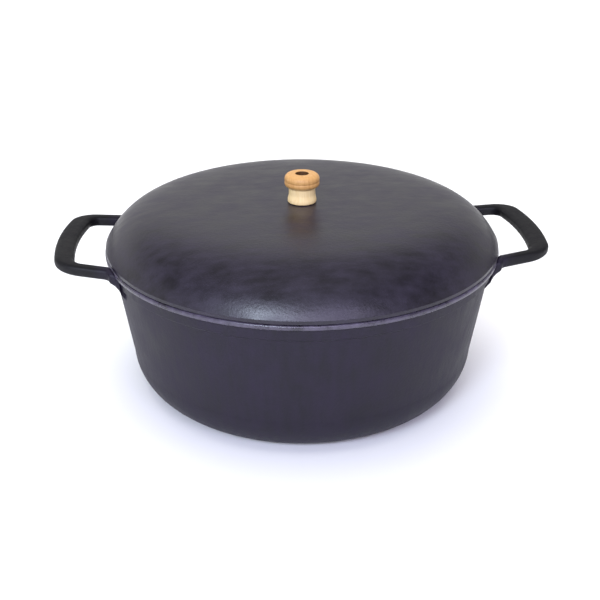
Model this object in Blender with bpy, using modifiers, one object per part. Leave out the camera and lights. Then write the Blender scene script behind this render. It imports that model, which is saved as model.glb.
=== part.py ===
"""Round cast iron dutch oven: a pot cast in one with its two loop handles, a domed lid, and a turned
wooden knob held on the lid by a screw.

Metres, +Z up. The origin is the middle of the pot's flat base, and +X points towards one handle.
"""

import math

import bmesh
import bpy
from mathutils import Vector

# ---------------------------------------------------------------- driving dimensions, metres and radians
# Pot
RIM_RADIUS = 0.1784  # outside of the rim's lip
POT_HEIGHT = 0.1341  # base to the top of the rim
WALL_LEAN = 0.144  # how far the wall leans out for each metre of height
CORNER_RUN = 0.034  # width of the rounded corner between base and wall
CORNER_RISE = 0.0382  # height of that corner
POT_WALL = 0.0045
POT_FLOOR = 0.0055
LIP_OVERHANG = 0.0046  # lip's edge beyond the wall
LIP_THICKNESS = 0.0042
LIP_EDGE_ROUND = 0.0016
BAND_HEIGHT = 0.0146  # rim's top to the lower edge of the thickened band under the lip
BAND_PROUD = 0.0021
BAND_STEP = 0.0016  # height over which the band dies into the wall
BAND_EDGE_ROUND = 0.0010
MOUTH_CHAMFER = 0.0012

# Loop handles
HANDLE_REACH = 0.0427  # outer face of the bar, beyond the rim's lip
HANDLE_TILT = math.radians(6.3)  # the loops rise away from the pot
HANDLE_THICKNESS = 0.0097
HANDLE_ROOT_RISE = 0.0014  # top of the arms above the rim's top, where they leave the lip
BAR_WIDTH = 0.0170
BAR_HALF_LENGTH = 0.0443
BAR_BOW_RADIUS = 0.253
ARM_WIDTH = 0.0108
ARM_SPREAD = math.radians(8.5)  # each arm splays out towards the pot
HANDLE_CORNER_RADIUS = 0.019
ROOT_FILLET = 0.0115  # below each arm, down the wall
ROOT_SIDE_FILLET = 0.0040  # each side of each arm, out from the rim's lip
ROOT_DEPTH = 0.0135  # how far the loop's ends run in past the wall before the cavity cuts them off
HANDLE_SQUARENESS = 3.3  # power of the bar's rounded section: 2 is an ellipse, more is squarer

# Lid
LID_INSET = 0.0009  # lid's edge inside the rim's lip
LID_EDGE_HEIGHT = 0.0034
LID_EDGE_ROUND = 0.0008
DOME_RISE = 0.0306  # top of the lid's edge to the crown
DOME_SIDE_POWER = 10.0  # flatness of the crown
DOME_CROWN_POWER = 1.0  # roundness of the shoulder, which at 1 meets the lid's edge at a slant
HOLLOW_SIDE_POWER = 14.0  # flatness of the hollow under the dome
LID_WALL = 0.0050
LOCATING_RING_DEPTH = 0.0050
LOCATING_RING_WIDTH = 0.0040
LOCATING_RING_CLEARANCE = 0.0015
LOCATING_RING_ROUND = 0.0010

# Knob and its fixing
KNOB_HEIGHT = 0.0265
KNOB_HEAD_RADIUS = 0.0158
KNOB_HEAD_HEIGHT = 0.0112
KNOB_HEAD_TOP_ROUND = 0.0048
KNOB_HEAD_FOOT_ROUND = 0.0038
KNOB_HEAD_UNDERCUT = 0.0014  # rise of the head's underside from the neck out to its edge
KNOB_NECK_RADIUS = 0.0120
KNOB_NECK_ROUND = 0.0012
KNOB_FLARE_HEIGHT = 0.0075  # foot's flare begins here
KNOB_FLARE_ROUND = 0.0060
KNOB_FOOT_RADIUS = 0.0130
KNOB_FOOT_HEIGHT = 0.0030
KNOB_FOOT_ROUND = 0.0012
COUNTERBORE_RADIUS = 0.0059
COUNTERBORE_DEPTH = 0.0095
SCREW_RADIUS = 0.0030  # M6
SCREW_HEAD_RADIUS = 0.0050
SCREW_HEAD_HEIGHT = 0.0036
SCREW_HEAD_ROUND = 0.0014
SCREW_SLOT_WIDTH = 0.0014
SCREW_SLOT_DEPTH = 0.0016
SCREW_TAIL = 0.0030  # screw showing below the nut
HEAD_WASHER_THICKNESS = 0.0010
LID_WASHER_RADIUS = 0.0090
LID_WASHER_THICKNESS = 0.0015
NUT_ACROSS_FLATS = 0.0100
NUT_THICKNESS = 0.0050
FASTENER_EDGE = 0.0003

# Fits
CONTACT_GAP = 0.0003  # between pieces that touch
HOLE_CLEARANCE = 0.0003  # round the screw
WASHER_CLEARANCE = 0.0003  # washer's rim inside the knob's counterbore
SEAT_CLEARANCE = 0.0006  # lid's edge to where the arms start to rise above the rim

# Fineness
TURNS_LARGE = 64
TURNS_SMALL = 28
ARC_STEPS = 3
CORNER_STEPS = 8
DOME_STEPS = 16
HOLLOW_STEPS = 9
HANDLE_SIDES = 12
BAR_STEPS = 4  # along half the bar
BEND_STEPS = 8  # round each corner of the loop
ROOT_STEPS = 7  # down each root's fillet

# ---------------------------------------------------------------- sizes worked out from them
WALL_TOP_RADIUS = RIM_RADIUS - LIP_OVERHANG
WALL_FOOT_RADIUS = WALL_TOP_RADIUS - WALL_LEAN * (POT_HEIGHT - CORNER_RISE)
BASE_RADIUS = WALL_FOOT_RADIUS - CORNER_RUN
MOUTH_RADIUS = WALL_TOP_RADIUS - POT_WALL
SEAT_HEIGHT = POT_HEIGHT + CONTACT_GAP

LID_RADIUS = RIM_RADIUS - LID_INSET
LOCATING_RING_RADIUS = MOUTH_RADIUS - LOCATING_RING_CLEARANCE
LOCATING_RING_INNER_RADIUS = LOCATING_RING_RADIUS - LOCATING_RING_WIDTH
CROWN_HEIGHT = LID_EDGE_HEIGHT + DOME_RISE
HOLE_RADIUS = SCREW_RADIUS + HOLE_CLEARANCE
HEAD_WASHER_RADIUS = COUNTERBORE_RADIUS - WASHER_CLEARANCE

KNOB_SEAT = CROWN_HEIGHT + CONTACT_GAP
HEAD_WASHER_SEAT = KNOB_SEAT + KNOB_HEIGHT - COUNTERBORE_DEPTH + CONTACT_GAP
SCREW_HEAD_SEAT = HEAD_WASHER_SEAT + HEAD_WASHER_THICKNESS + CONTACT_GAP
LID_WASHER_SEAT = CROWN_HEIGHT - LID_WALL - CONTACT_GAP - LID_WASHER_THICKNESS
NUT_SEAT = LID_WASHER_SEAT - CONTACT_GAP - NUT_THICKNESS
SCREW_END = NUT_SEAT - SCREW_TAIL


# ---------------------------------------------------------------- helpers
def clear_scene():
    for obj in list(bpy.data.objects):
        bpy.data.objects.remove(obj, do_unlink=True)


def new_collection(name, hidden=False):
    collection = bpy.data.collections.new(name)
    collection.hide_render = hidden
    bpy.context.scene.collection.children.link(collection)
    return collection


def new_material(name, color, roughness, metallic):
    material = bpy.data.materials.new(name)
    material.use_nodes = True
    shader = material.node_tree.nodes["Principled BSDF"]
    shader.inputs["Base Color"].default_value = (*color, 1.0)
    shader.inputs["Roughness"].default_value = roughness
    shader.inputs["Metallic"].default_value = metallic
    material.diffuse_color = (*color, 1.0)
    return material


def new_object(name, mesh, collection, material=None, parent=None, height=0.0):
    obj = bpy.data.objects.new(name, mesh)
    collection.objects.link(obj)
    obj.parent = parent
    obj.location.z = height
    if material is not None:
        mesh.materials.append(material)
    return obj


def make_cutter(obj):
    obj.hide_render = True
    obj.display_type = "WIRE"


def rounded(corners):
    """Outline through (radius, height) corners, with an arc at each corner that gives a third value."""
    outline = []
    for index, corner in enumerate(corners):
        point = Vector(corner[:2])
        if len(corner) == 2:
            outline.append(point)
            continue
        before = (Vector(corners[index - 1][:2]) - point).normalized()
        after = (Vector(corners[(index + 1) % len(corners)][:2]) - point).normalized()
        half_angle = before.angle(after) / 2
        middle = point + (before + after).normalized() * corner[2] / math.sin(half_angle)
        start = point + before * corner[2] / math.tan(half_angle) - middle
        end = point + after * corner[2] / math.tan(half_angle) - middle
        for step in range(ARC_STEPS + 1):
            spoke = start.lerp(end, step / ARC_STEPS).normalized() * corner[2]
            outline.append(middle + spoke)
    return outline


def quarter_curve(run, rise, side_power, crown_power, steps):
    """Superellipse quarter from (run, 0) up to (0, rise). Both powers at 2 make an ellipse."""
    curve = []
    for step in range(steps + 1):
        angle = math.pi / 2 * step / steps
        across = run * math.cos(angle) ** (2 / side_power) if step < steps else 0.0
        curve.append((across, rise * math.sin(angle) ** (2 / crown_power)))
    return curve


def turned(name, outline, closed, turns, collection, material=None, parent=None, height=0.0):
    """Solid of revolution about Z. The outline runs down its outer side. One that isn't closed starts and
    ends on the axis."""
    mesh = bpy.data.meshes.new(name)
    points = [(radius, 0.0, level) for radius, level in outline]
    edges = [(index, index + 1) for index in range(len(points) - 1)]
    if closed:
        edges.append((len(points) - 1, 0))
    mesh.from_pydata(points, edges, [])
    obj = new_object(name, mesh, collection, material, parent, height)
    screw = obj.modifiers.new("turn", "SCREW")
    screw.steps = turns
    screw.render_steps = turns
    screw.use_merge_vertices = True
    screw.merge_threshold = 0.00001
    screw.use_smooth_shade = True
    return obj


def add_boolean(obj, other, operation):
    boolean = obj.modifiers.new(other.name, "BOOLEAN")
    boolean.operation = operation
    boolean.solver = "EXACT"
    boolean.object = other


# ---------------------------------------------------------------- pot
def wall_radius(height):
    """Outside of the plain wall."""
    return WALL_TOP_RADIUS - WALL_LEAN * (POT_HEIGHT - height)


def corner_curve(run, rise, base_radius, base_height):
    """The bottom corner, from the top of its curve down to the flat base."""
    curve = quarter_curve(rise, run, 2, 2, CORNER_STEPS)
    return [(base_radius + across, base_height + rise - drop) for drop, across in reversed(curve)]


def pot_outline():
    lip_foot = POT_HEIGHT - LIP_THICKNESS
    band_foot = POT_HEIGHT - BAND_HEIGHT
    step_foot = band_foot - BAND_STEP
    top = [
        (0.0, POT_HEIGHT),
        (RIM_RADIUS, POT_HEIGHT, LIP_EDGE_ROUND),
        (RIM_RADIUS, lip_foot, LIP_EDGE_ROUND),
        (wall_radius(lip_foot) + BAND_PROUD, lip_foot),
        (wall_radius(band_foot) + BAND_PROUD, band_foot, BAND_EDGE_ROUND),
        (wall_radius(step_foot), step_foot, BAND_EDGE_ROUND),
        (WALL_FOOT_RADIUS, CORNER_RISE),
    ]
    corner = corner_curve(CORNER_RUN, CORNER_RISE, BASE_RADIUS, 0.0)
    return rounded(top)[:-1] + corner + [(0.0, 0.0)]


def cavity_outline():
    """Inside of the pot, carried up past the rim so that it cuts cleanly."""
    above = POT_HEIGHT + POT_WALL
    top = [
        (0.0, above),
        (MOUTH_RADIUS + MOUTH_CHAMFER + POT_WALL, above),
        (MOUTH_RADIUS + MOUTH_CHAMFER, POT_HEIGHT),
        (wall_radius(POT_HEIGHT - MOUTH_CHAMFER) - POT_WALL, POT_HEIGHT - MOUTH_CHAMFER),
    ]
    corner = corner_curve(CORNER_RUN - POT_WALL, CORNER_RISE - POT_FLOOR, BASE_RADIUS, POT_FLOOR)
    return top + corner + [(0.0, POT_FLOOR)]


class HandlePath:
    """Centre line of half a loop handle, from the middle of its bar to its root inside the wall."""

    def __init__(self):
        self.bar_x = RIM_RADIUS + HANDLE_REACH - BAR_WIDTH / 2
        self.bar_turn = math.asin(BAR_HALF_LENGTH / BAR_BOW_RADIUS)
        self.arm_turn = math.pi / 2 - ARM_SPREAD
        self.bar_end = self.on_bar(self.bar_turn)
        self.arm_start = self.on_corner(self.arm_turn)
        self.arm_way = Vector((-math.sin(self.arm_turn), math.cos(self.arm_turn)))

    @staticmethod
    def outward(turn):
        return Vector((math.cos(turn), math.sin(turn)))

    def on_bar(self, turn):
        return Vector((self.bar_x - BAR_BOW_RADIUS, 0.0)) + self.outward(turn) * BAR_BOW_RADIUS

    def on_corner(self, turn):
        swing = self.outward(turn) - self.outward(self.bar_turn)
        return self.bar_end + swing * HANDLE_CORNER_RADIUS

    def on_arm(self, radius):
        """Where the arm's centre line is that far from the pot's axis."""
        along = -self.arm_start.dot(self.arm_way)
        short = along * along - self.arm_start.length_squared + radius * radius
        return self.arm_start + self.arm_way * (along - math.sqrt(short))

    def stations(self):
        """(centre, turn, width, depth below the plain bar) from the bar's middle to the root."""
        found = []
        for step in range(BAR_STEPS):
            turn = self.bar_turn * step / BAR_STEPS
            found.append((self.on_bar(turn), turn, BAR_WIDTH, 0.0))
        for step in range(BEND_STEPS + 1):
            share = step / BEND_STEPS
            turn = self.bar_turn + (self.arm_turn - self.bar_turn) * share
            width = BAR_WIDTH + (ARM_WIDTH - BAR_WIDTH) * share
            found.append((self.on_corner(turn), turn, width, 0.0))
        root_radius = wall_radius(POT_HEIGHT - HANDLE_THICKNESS)
        for step in range(ROOT_STEPS + 1):
            swing = math.pi / 2 * step / ROOT_STEPS
            depth = ROOT_FILLET * (1 - math.cos(swing))
            off_wall = ROOT_FILLET * (1 - math.sin(swing)) - WALL_LEAN * depth
            off_lip = max(0.0, root_radius + off_wall - RIM_RADIUS)
            side = max(0.0, ROOT_SIDE_FILLET - off_lip)
            flare = ROOT_SIDE_FILLET - math.sqrt(ROOT_SIDE_FILLET**2 - side**2)
            place = self.on_arm(root_radius + off_wall)
            found.append((place, self.arm_turn, ARM_WIDTH + 2 * flare, depth))
        inside = self.on_arm(root_radius - ROOT_DEPTH)
        found.append((inside, self.arm_turn, ARM_WIDTH + 2 * ROOT_SIDE_FILLET, ROOT_FILLET))
        return found

    def heights(self, place, depth):
        """Top and foot of the loop at a place in plan. The top ramps down to the rim beside the lid's edge."""
        at_lip = math.sqrt(RIM_RADIUS**2 - self.arm_start.y**2)
        slope = HANDLE_ROOT_RISE + math.tan(HANDLE_TILT) * (place.x - at_lip)
        ramp = place.length - LID_RADIUS - SEAT_CLEARANCE
        return POT_HEIGHT + min(slope, ramp), POT_HEIGHT + slope - HANDLE_THICKNESS - depth


def handle_section(path, centre, turn, width, depth):
    """Closed rounded section across the handle at one station."""
    outward = path.outward(turn)
    ring = []
    for side in range(HANDLE_SIDES):
        angle = 2 * math.pi * side / HANDLE_SIDES
        across = math.copysign(abs(math.cos(angle)) ** (2 / HANDLE_SQUARENESS), math.cos(angle))
        up = math.copysign(abs(math.sin(angle)) ** (2 / HANDLE_SQUARENESS), math.sin(angle))
        place = centre + outward * (width / 2 * across)
        top, foot = path.heights(place, depth)
        ring.append((place.x, place.y, (top + foot) / 2 + (top - foot) / 2 * up))
    return ring


def handle_mesh():
    """Loop handle as a loft through its sections, from one root round to the other."""
    path = HandlePath()
    half = [handle_section(path, *station) for station in path.stations()]
    mirrored = [[(x, -y, z) for x, y, z in ring] for ring in half[:0:-1]]
    loft = bmesh.new()
    rows = [[loft.verts.new(point) for point in ring] for ring in mirrored + half]
    for row, following in zip(rows, rows[1:]):
        for side in range(HANDLE_SIDES):
            beside = (side + 1) % HANDLE_SIDES
            loft.faces.new((row[side], row[beside], following[beside], following[side]))
    loft.faces.new(reversed(rows[0]))
    loft.faces.new(rows[-1])
    bmesh.ops.recalc_face_normals(loft, faces=loft.faces)
    mesh = bpy.data.meshes.new("loop_handle")
    loft.to_mesh(mesh)
    loft.free()
    return mesh


def build_pot(parts, cutters, iron):
    pot = turned("pot", pot_outline(), False, TURNS_LARGE, parts, iron)
    loop = handle_mesh()
    for side, name in enumerate(("right", "left")):
        handle = new_object(name + "_loop_handle", loop, cutters)
        handle.rotation_euler.z = math.pi * side
        make_cutter(handle)
        add_boolean(pot, handle, "UNION")
    cavity = turned("pot_cavity", cavity_outline(), False, TURNS_LARGE, cutters)
    make_cutter(cavity)
    add_boolean(pot, cavity, "DIFFERENCE")


# ---------------------------------------------------------------- lid
def dome_outline():
    """Outside of the lid, from its screw hole over the crown and down to the lid's edge."""
    dome = quarter_curve(LID_RADIUS, DOME_RISE, DOME_SIDE_POWER, DOME_CROWN_POWER, DOME_STEPS)
    outside = [(across, LID_EDGE_HEIGHT + up) for across, up in reversed(dome[1:-1])]
    return [(HOLE_RADIUS, CROWN_HEIGHT)] + outside


def lid_outline():
    outside = dome_outline()
    edge = [
        outside[-1],
        (LID_RADIUS, LID_EDGE_HEIGHT, LID_EDGE_ROUND),
        (LID_RADIUS, 0.0, LID_EDGE_ROUND),
        (LOCATING_RING_RADIUS, 0.0),
        (LOCATING_RING_RADIUS, -LOCATING_RING_DEPTH, LOCATING_RING_ROUND),
        (LOCATING_RING_INNER_RADIUS, -LOCATING_RING_DEPTH, LOCATING_RING_ROUND),
        (LOCATING_RING_INNER_RADIUS, LID_EDGE_HEIGHT),
    ]
    rise = DOME_RISE - LID_WALL
    hollow = quarter_curve(
        LOCATING_RING_INNER_RADIUS, rise, HOLLOW_SIDE_POWER, DOME_CROWN_POWER, HOLLOW_STEPS
    )
    inside = [(across, LID_EDGE_HEIGHT + up) for across, up in hollow[1:-1]]
    return outside + rounded(edge)[1:] + inside + [(HOLE_RADIUS, CROWN_HEIGHT - LID_WALL)]


# ---------------------------------------------------------------- knob and its fixing
def knob_outline():
    head_foot = KNOB_HEIGHT - KNOB_HEAD_HEIGHT
    counterbore_floor = KNOB_HEIGHT - COUNTERBORE_DEPTH
    corners = [
        (COUNTERBORE_RADIUS, KNOB_HEIGHT),
        (KNOB_HEAD_RADIUS, KNOB_HEIGHT, KNOB_HEAD_TOP_ROUND),
        (KNOB_HEAD_RADIUS, head_foot, KNOB_HEAD_FOOT_ROUND),
        (KNOB_NECK_RADIUS, head_foot - KNOB_HEAD_UNDERCUT, KNOB_NECK_ROUND),
        (KNOB_NECK_RADIUS, KNOB_FLARE_HEIGHT, KNOB_FLARE_ROUND),
        (KNOB_FOOT_RADIUS, KNOB_FOOT_HEIGHT, KNOB_FOOT_ROUND),
        (KNOB_FOOT_RADIUS, 0.0, KNOB_FOOT_ROUND),
        (HOLE_RADIUS, 0.0),
        (HOLE_RADIUS, counterbore_floor),
        (COUNTERBORE_RADIUS, counterbore_floor),
    ]
    return rounded(corners)


def ring_outline(inner, outer, thickness):
    return rounded(
        [
            (inner, thickness),
            (outer, thickness, FASTENER_EDGE),
            (outer, 0.0, FASTENER_EDGE),
            (inner, 0.0),
        ]
    )


def screw_outline():
    """Pan head machine screw, with its head's underside at height 0."""
    end = SCREW_END - SCREW_HEAD_SEAT
    corners = [
        (0.0, SCREW_HEAD_HEIGHT),
        (SCREW_HEAD_RADIUS, SCREW_HEAD_HEIGHT, SCREW_HEAD_ROUND),
        (SCREW_HEAD_RADIUS, 0.0, FASTENER_EDGE),
        (SCREW_RADIUS, 0.0),
        (SCREW_RADIUS, end, FASTENER_EDGE),
        (0.0, end),
    ]
    return rounded(corners)


def build_screw(parts, cutters, steel, axis):
    screw = turned(
        "knob_bolt", screw_outline(), False, TURNS_SMALL, parts, steel, axis, SCREW_HEAD_SEAT
    )
    mesh = bpy.data.meshes.new("screw_slot")
    block = bmesh.new()
    bmesh.ops.create_cube(block, size=1.0)
    size = (4 * SCREW_HEAD_RADIUS, SCREW_SLOT_WIDTH, 2 * SCREW_SLOT_DEPTH)
    bmesh.ops.scale(block, vec=size, verts=block.verts)
    block.to_mesh(mesh)
    block.free()
    slot = new_object("screw_slot", mesh, cutters, None, axis, SCREW_HEAD_SEAT + SCREW_HEAD_HEIGHT)
    make_cutter(slot)
    add_boolean(screw, slot, "DIFFERENCE")


def build_nut(parts, cutters, steel, axis):
    mesh = bpy.data.meshes.new("knob_nut")
    hexagon = bmesh.new()
    corner_radius = NUT_ACROSS_FLATS / 2 / math.cos(math.pi / 6)
    bmesh.ops.create_cone(
        hexagon,
        cap_ends=True,
        segments=6,
        radius1=corner_radius,
        radius2=corner_radius,
        depth=NUT_THICKNESS,
    )
    hexagon.to_mesh(mesh)
    hexagon.free()
    nut = new_object("knob_nut", mesh, parts, steel, axis, NUT_SEAT + NUT_THICKNESS / 2)
    bevel = nut.modifiers.new("edges", "BEVEL")
    bevel.width = FASTENER_EDGE
    bevel.segments = 2
    bore_outline = [
        (0.0, NUT_THICKNESS),
        (HOLE_RADIUS, NUT_THICKNESS),
        (HOLE_RADIUS, -NUT_THICKNESS),
        (0.0, -NUT_THICKNESS),
    ]
    middle = NUT_SEAT + NUT_THICKNESS / 2
    bore = turned("nut_bore", bore_outline, False, TURNS_SMALL, cutters, None, axis, middle)
    make_cutter(bore)
    add_boolean(nut, bore, "DIFFERENCE")


def build_lid(parts, cutters, iron, wood, steel):
    """Everything that lifts off with the lid, on an empty where the lid seats on the rim."""
    axis = bpy.data.objects.new("lid_lift_axis", None)
    parts.objects.link(axis)
    axis.location.z = SEAT_HEIGHT
    turned("lid", lid_outline(), True, TURNS_LARGE, parts, iron, axis)
    turned("knob", knob_outline(), True, TURNS_SMALL, parts, wood, axis, KNOB_SEAT)
    build_screw(parts, cutters, steel, axis)
    head_washer = ring_outline(HOLE_RADIUS, HEAD_WASHER_RADIUS, HEAD_WASHER_THICKNESS)
    turned(
        "bolt_head_washer", head_washer, True, TURNS_SMALL, parts, steel, axis, HEAD_WASHER_SEAT
    )
    lid_washer = ring_outline(HOLE_RADIUS, LID_WASHER_RADIUS, LID_WASHER_THICKNESS)
    turned("lid_washer", lid_washer, True, TURNS_SMALL, parts, steel, axis, LID_WASHER_SEAT)
    build_nut(parts, cutters, steel, axis)


def main():
    clear_scene()
    parts = new_collection("dutch_oven")
    cutters = new_collection("cutters", hidden=True)
    iron = new_material("cast_iron", (0.045, 0.042, 0.050), 0.45, 0.6)
    wood = new_material("turned_wood", (0.80, 0.62, 0.36), 0.5, 0.0)
    steel = new_material("zinc_plated_steel", (0.55, 0.56, 0.58), 0.35, 1.0)
    build_pot(parts, cutters, iron)
    build_lid(parts, cutters, iron, wood, steel)


main()
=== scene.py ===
"""Looks of a large round cast iron dutch oven with a domed lid and a turned wooden knob.

Metres, +Z up. The origin is the middle of the pot's flat base, and the loop handles lie along X.
"""

import logging
import math
from collections.abc import Sequence
from dataclasses import dataclass, field
from enum import Enum

import bpy
import numpy as np
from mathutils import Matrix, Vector
from mathutils.bvhtree import BVHTree
from mathutils.interpolate import poly_3d_calc


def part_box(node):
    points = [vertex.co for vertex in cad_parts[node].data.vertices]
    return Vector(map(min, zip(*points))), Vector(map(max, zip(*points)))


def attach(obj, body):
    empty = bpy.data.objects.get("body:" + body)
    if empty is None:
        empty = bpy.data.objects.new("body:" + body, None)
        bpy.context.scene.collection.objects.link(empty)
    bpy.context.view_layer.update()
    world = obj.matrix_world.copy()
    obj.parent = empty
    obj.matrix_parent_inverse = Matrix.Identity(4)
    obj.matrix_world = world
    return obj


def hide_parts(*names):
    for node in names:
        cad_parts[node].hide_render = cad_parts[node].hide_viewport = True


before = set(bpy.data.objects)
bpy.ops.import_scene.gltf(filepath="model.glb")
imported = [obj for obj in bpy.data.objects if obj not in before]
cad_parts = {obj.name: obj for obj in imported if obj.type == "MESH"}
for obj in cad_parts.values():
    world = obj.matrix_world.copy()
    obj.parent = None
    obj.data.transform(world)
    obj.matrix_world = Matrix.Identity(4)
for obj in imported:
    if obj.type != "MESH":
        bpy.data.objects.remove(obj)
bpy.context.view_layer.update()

LOG = logging.getLogger("dutch_oven")
MM = 0.001

CONTACT_GAP = 0.0003
LOCATING_RING_DEPTH = 0.0050
LOCATING_RING_CLEARANCE = 0.0015
HOLE_RADIUS = 0.0033
SCREW_RADIUS = 0.0030
NUT_ACROSS_FLATS = 0.0100
VIEW_HEIGHT = 0.090

Socket = bpy.types.NodeSocket
Profile = list[tuple[float, float]]
Corner = tuple[float, ...]


class Body(Enum):
    """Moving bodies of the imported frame."""

    POT = "pot"
    LID = "lid"


class Slot(Enum):
    """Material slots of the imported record."""

    IRON = "seasoned_iron"
    WOOD = "turned_wood"
    STEEL = "plated_steel"


class Surface(Enum):
    """Which way out of a casting's wall a shell faces once it is joined in."""

    OUTSIDE = 1
    CAVITY = -1


# ---------------------------------------------------------------- profiles
def rounded(corners: Sequence[Corner], steps: int = 8) -> Profile:
    """Rounds the corners of an outline.

    Args:
        corners: (radius, height) points, with a fillet radius third where the corner is rounded.
        steps: Straight pieces in each arc.

    Returns:
        The outline's (radius, height) points in the same order.
    """
    outline: Profile = []
    for index, corner in enumerate(corners):
        point = Vector(corner[:2])
        if len(corner) == 2:
            outline.append((point.x, point.y))
            continue
        before = (Vector(corners[index - 1][:2]) - point).normalized()
        after = (Vector(corners[(index + 1) % len(corners)][:2]) - point).normalized()
        half_angle = before.angle(after) / 2
        middle = point + (before + after).normalized() * corner[2] / math.sin(half_angle)
        start = (point + before * corner[2] / math.tan(half_angle) - middle).normalized()
        end = (point + after * corner[2] / math.tan(half_angle) - middle).normalized()
        for step in range(steps + 1):
            place = middle + start.slerp(end, step / steps) * corner[2]
            outline.append((place.x, place.y))
    return outline


def dome_curve(run: float, rise: float, side: float, crown: float, inner: float) -> Profile:
    """Quarter of a superellipse, from its foot at (run, 0) to the crown.

    Args:
        run: Radius at the foot.
        rise: Height of the crown.
        side: Power that flattens the crown.
        crown: Power that rounds the shoulder.
        inner: Radius at which the curve stops.

    Returns:
        (radius, height) points, close together round the shoulder.
    """
    steps = 72
    curve: Profile = []
    for step in range(steps + 1):
        radius = inner + (run - inner) * math.sin(math.pi / 2 * (1 - step / steps))
        curve.append((radius, rise * (1 - (radius / run) ** side) ** (1 / crown)))
    return curve


# ---------------------------------------------------------------- meshes
@dataclass
class Shell:
    """A closed surface with the smooth normal of each of its points."""

    points: np.ndarray
    faces: list[tuple[int, ...]]
    surface: Surface = Surface.OUTSIDE
    normals: np.ndarray = field(init=False)

    def __post_init__(self) -> None:
        """Works out the normals, in which each face counts by its area."""
        normals = np.zeros_like(self.points)
        for face in self.faces:
            ring = self.points[list(face)]
            area = np.cross(ring, np.roll(ring, -1, axis=0)).sum(axis=0)
            normals[list(face)] += area
        lengths = np.linalg.norm(normals, axis=1, keepdims=True)
        self.normals = normals / np.maximum(lengths, 1e-12)

    def to_mesh(self, name: str) -> bpy.types.Mesh:
        """Makes a smooth Blender mesh of the shell.

        Args:
            name: Name of the mesh.

        Returns:
            The mesh, with the shell's normals.
        """
        mesh = bpy.data.meshes.new(name)
        mesh.from_pydata(self.points.tolist(), [], self.faces)
        mesh.shade_smooth()
        mesh.normals_split_custom_set_from_vertices(self.normals.tolist())
        return mesh

    def tree(self) -> BVHTree:
        """Search tree over the faces."""
        return BVHTree.FromPolygons(self.points.tolist(), self.faces)

    def normal_at(self, place: Vector, face: int) -> Vector:
        """Smooth normal at a place on one face.

        Args:
            place: Point on the face.
            face: Index of the face.

        Returns:
            The unit normal, turned inside out for a cavity.
        """
        ring = self.faces[face]
        weights = poly_3d_calc([Vector(self.points[i]) for i in ring], place)
        normal = Vector(sum(w * self.normals[i] for w, i in zip(weights, ring)))
        return normal.normalized() * self.surface.value


def revolve(profile: Profile, turns: int, closed: bool, surface: Surface = Surface.OUTSIDE) -> Shell:
    """Turns an outline about Z.

    Args:
        profile: (radius, height) points, running down the outer side.
        turns: Steps in a full turn.
        closed: True for a ring of points that never meets the axis.
        surface: Which way the shell faces.

    Returns:
        The solid of revolution.
    """
    points: list[tuple[float, float, float]] = []
    rows: list[list[int]] = []
    for radius, height in profile:
        if radius < 1e-9:
            rows.append([len(points)] * turns)
            points.append((0.0, 0.0, height))
            continue
        rows.append(list(range(len(points), len(points) + turns)))
        for turn in range(turns):
            angle = 2 * math.pi * turn / turns
            points.append((radius * math.cos(angle), radius * math.sin(angle), height))
    pairs = list(zip(rows, rows[1:]))
    if closed:
        pairs.append((rows[-1], rows[0]))
    faces = []
    for upper, lower in pairs:
        for turn in range(turns):
            beside = (turn + 1) % turns
            ring = (upper[turn], lower[turn], lower[beside], upper[beside])
            faces.append(tuple(dict.fromkeys(ring)))
    return Shell(np.array(points), [face for face in faces if len(face) > 2], surface)


def loft(rings: list[list[Vector]]) -> Shell:
    """Closes a row of sections into a solid.

    Args:
        rings: Sections with the same number of points, anticlockwise seen from the far end.

    Returns:
        The lofted solid.
    """
    sides = len(rings[0])
    points = np.array([tuple(point) for ring in rings for point in ring])
    faces: list[tuple[int, ...]] = []
    for row in range(len(rings) - 1):
        for side in range(sides):
            beside = (side + 1) % sides
            first, second = row * sides, (row + 1) * sides
            faces.append((first + side, first + beside, second + beside, second + side))
    faces.append(tuple(reversed(range(sides))))
    faces.append(tuple(range((len(rings) - 1) * sides, len(rings) * sides)))
    return Shell(points, faces)


def place_object(name: str, mesh: bpy.types.Mesh, height: float = 0.0) -> bpy.types.Object:
    """Links a new object for a mesh.

    Args:
        name: Name of the object.
        mesh: Its mesh.
        height: Height of its origin.

    Returns:
        The object.
    """
    obj = bpy.data.objects.new(name, mesh)
    bpy.context.scene.collection.objects.link(obj)
    obj.location.z = height
    return obj


def cast_together(name: str, shells: Sequence[Shell]) -> tuple[bpy.types.Mesh, list[int]]:
    """Joins shells into one casting and keeps the smooth normals of each.

    Args:
        name: Name of the mesh.
        shells: The first is the main solid. Outside shells are added to it, and cavities cut from it.

    Returns:
        The mesh, and for each of its faces the index of the shell that it came from.
    """
    objects = [place_object(f"{name}_{index}", shell.to_mesh(name)) for index, shell in enumerate(shells)]
    for shell, obj in zip(shells[1:], objects[1:]):
        boolean = objects[0].modifiers.new("join", "BOOLEAN")
        boolean.operation = "UNION" if shell.surface is Surface.OUTSIDE else "DIFFERENCE"
        boolean.solver = "EXACT"
        boolean.object = obj
    graph = bpy.context.evaluated_depsgraph_get()
    mesh = bpy.data.meshes.new_from_object(objects[0].evaluated_get(graph))
    mesh.name = name
    for obj in objects:
        bpy.data.objects.remove(obj)
    trees = [shell.tree() for shell in shells]
    normals = [Vector((0, 0, 1))] * len(mesh.loops)
    sources: list[int] = []
    for polygon in mesh.polygons:
        found = [tree.find_nearest(polygon.center) for tree in trees]
        source = min(range(len(shells)), key=lambda index: found[index][3])
        sources.append(source)
        for loop in polygon.loop_indices:
            point = mesh.vertices[mesh.loops[loop].vertex_index].co
            place, _, face, _ = trees[source].find_nearest(point)
            normals[loop] = shells[source].normal_at(place, face)
    mesh.shade_smooth()
    mesh.normals_split_custom_set(normals)
    return mesh, sources


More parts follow.
